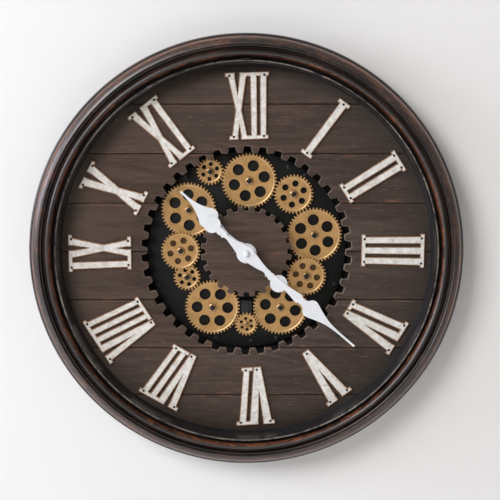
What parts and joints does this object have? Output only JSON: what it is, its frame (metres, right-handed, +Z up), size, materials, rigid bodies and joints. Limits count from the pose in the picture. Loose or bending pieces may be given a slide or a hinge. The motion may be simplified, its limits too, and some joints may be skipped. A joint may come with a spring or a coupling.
{
  "type": "wall clock",
  "caption": "Round wooden wall clock with raised Roman numerals, spade hands and a train of brass gears turning behind a toothed window.",
  "frame": {"origin": "centre of the back face, on the wall plane, on the axis of the hands", "axes": "+Y into the wall, so the dial faces -Y; +Z up towards twelve; +X to the right seen from the front, towards three"},
  "size_m": [0.6, 0.0588, 0.6],
  "materials": {
    "dark_frame": "espresso stain, satin, rubbed copper on the crests",
    "dark_hoop": "blue-black paint, satin, copper lip",
    "dial_wood": "dark grey-brown stain, matt",
    "disc_wood": "dark brown stain, matt",
    "raw_board": "raw fibreboard, matt",
    "numeral_white": "chalky off-white paint, worn brown at the edges",
    "black_plate": "gloss black sheet",
    "gear_brass": "brushed brass",
    "dark_pin": "browned steel",
    "zinc_steel": "zinc plated",
    "hand_white": "flat white paint",
    "hand_brass": "turned brass",
    "black_plastic": "moulded, fine matt grain",
    "cell_wrap": "plain dark wrap, satin"
  },
  "bodies": {
    "clock_case": {"frame_ring": "dark_frame", "inner_bezel": "dark_hoop", "dial_backing": "raw_board", "dial_blocks": "raw_board", "back_board": "raw_board", "centre_disc_upper": "disc_wood", "centre_disc_lower": "disc_wood", "gear_plate": "black_plate", "plate_standoffs": "zinc_steel", "disc_posts": "zinc_steel", "gear_pins": "dark_pin", "movement_case": "black_plastic", "threaded_bush": "hand_brass", "bush_washer": "hand_brass", "bush_nut": "hand_brass", "clock_cell": "cell_wrap", "motor_cell": "cell_wrap", "gear_motor": "black_plastic", "motor_battery_tray": "black_plastic", "wall_hanger": "zinc_steel", "dial_plank_1": "dial_wood", "dial_plank_2": "dial_wood", "dial_plank_3": "dial_wood", "dial_plank_4": "dial_wood", "dial_plank_5": "dial_wood", "dial_plank_6": "dial_wood", "dial_plank_7": "dial_wood", "dial_plank_8": "dial_wood", "numeral_1": "numeral_white", "numeral_2": "numeral_white", "numeral_3": "numeral_white", "numeral_4": "numeral_white", "numeral_5": "numeral_white", "numeral_6": "numeral_white", "numeral_7": "numeral_white", "numeral_8": "numeral_white", "numeral_9": "numeral_white", "numeral_10": "numeral_white", "numeral_11": "numeral_white", "numeral_12": "numeral_white"},
    "minute": {"minute_hand": "hand_white", "hand_cap": "hand_brass", "minute_arbor": "zinc_steel"},
    "hour": {"hour_hand": "hand_white", "hour_tube": "hand_brass"},
    "knob": {"setting_knob": "black_plastic"},
    "wheel_top": {"gear_big_top": "gear_brass"},
    "wheel_high_right": {"gear_medium_high_right": "gear_brass"},
    "wheel_right": {"gear_big_right": "gear_brass"},
    "wheel_mid_right": {"gear_medium_right": "gear_brass", "pinion_right": "gear_brass"},
    "wheel_low_right": {"gear_big_low_right": "gear_brass"},
    "wheel_driver": {"gear_driver": "gear_brass", "motor_shaft": "zinc_steel"},
    "wheel_low_left": {"gear_big_low_left": "gear_brass"},
    "wheel_small_left": {"gear_small_left": "gear_brass"},
    "wheel_mid_left": {"gear_medium_left": "gear_brass", "pinion_left": "gear_brass"},
    "wheel_left": {"gear_big_left": "gear_brass"},
    "wheel_high_left": {"gear_small_high_left": "gear_brass"}
  },
  "joints": [
    {"name": "minute_turn", "type": "hinge", "parent": "clock_case", "child": "minute", "pos_m": [0, 0, 0], "axis": [0, 1, 0], "continuous": true},
    {"name": "hour_turn", "type": "hinge", "parent": "clock_case", "child": "hour", "pos_m": [0, 0, 0], "axis": [0, 1, 0], "continuous": true},
    {"name": "knob_turn", "type": "hinge", "parent": "clock_case", "child": "knob", "pos_m": [-0.017, 0, -0.006], "axis": [0, 1, 0], "continuous": true},
    {"name": "wheel_top_turn", "type": "hinge", "parent": "clock_case", "child": "wheel_top", "pos_m": [0.00403, 0, 0.09763], "axis": [0, 1, 0], "continuous": true},
    {"name": "wheel_high_right_turn", "type": "hinge", "parent": "clock_case", "child": "wheel_high_right", "pos_m": [0.06585, 0, 0.07897], "axis": [0, 1, 0], "continuous": true},
    {"name": "wheel_right_turn", "type": "hinge", "parent": "clock_case", "child": "wheel_right", "pos_m": [0.09506, 0, 0.02138], "axis": [0, 1, 0], "continuous": true},
    {"name": "wheel_mid_right_turn", "type": "hinge", "parent": "clock_case", "child": "wheel_mid_right", "pos_m": [0.08424, 0, -0.03588], "axis": [0, 1, 0], "continuous": true},
    {"name": "wheel_low_right_turn", "type": "hinge", "parent": "clock_case", "child": "wheel_low_right", "pos_m": [0.04797, 0, -0.08149], "axis": [0, 1, 0], "continuous": true},
    {"name": "wheel_driver_turn", "type": "hinge", "parent": "clock_case", "child": "wheel_driver", "pos_m": [0, 0, -0.1053], "axis": [0, 1, 0], "continuous": true},
    {"name": "wheel_low_left_turn", "type": "hinge", "parent": "clock_case", "child": "wheel_low_left", "pos_m": [-0.04788, 0, -0.08132], "axis": [0, 1, 0], "continuous": true},
    {"name": "wheel_small_left_turn", "type": "hinge", "parent": "clock_case", "child": "wheel_small_left", "pos_m": [-0.08345, 0, -0.03818], "axis": [0, 1, 0], "continuous": true},
    {"name": "wheel_mid_left_turn", "type": "hinge", "parent": "clock_case", "child": "wheel_mid_left", "pos_m": [-0.09186, 0, -0.00052], "axis": [0, 1, 0], "continuous": true},
    {"name": "wheel_left_turn", "type": "hinge", "parent": "clock_case", "child": "wheel_left", "pos_m": [-0.08055, 0, 0.05664], "axis": [0, 1, 0], "continuous": true},
    {"name": "wheel_high_left_turn", "type": "hinge", "parent": "clock_case", "child": "wheel_high_left", "pos_m": [-0.05039, 0, 0.11049], "axis": [0, 1, 0], "continuous": true}
  ],
  "couplings": [
    {"joint": "hour_turn", "follows": "minute_turn", "ratio": 0.083333},
    {"joint": "knob_turn", "follows": "minute_turn", "ratio": -1},
    {"joint": "wheel_high_right_turn", "follows": "wheel_top_turn", "ratio": -1.4118},
    {"joint": "wheel_right_turn", "follows": "wheel_top_turn", "ratio": 1},
    {"joint": "wheel_mid_right_turn", "follows": "wheel_top_turn", "ratio": -1.8462},
    {"joint": "wheel_low_right_turn", "follows": "wheel_top_turn", "ratio": 1},
    {"joint": "wheel_driver_turn", "follows": "wheel_top_turn", "ratio": -2.4},
    {"joint": "wheel_low_left_turn", "follows": "wheel_top_turn", "ratio": 1},
    {"joint": "wheel_small_left_turn", "follows": "wheel_top_turn", "ratio": -2.087},
    {"joint": "wheel_mid_left_turn", "follows": "wheel_top_turn", "ratio": 1.8462},
    {"joint": "wheel_left_turn", "follows": "wheel_top_turn", "ratio": -1},
    {"joint": "wheel_high_left_turn", "follows": "wheel_top_turn", "ratio": -2.087}
  ]
}
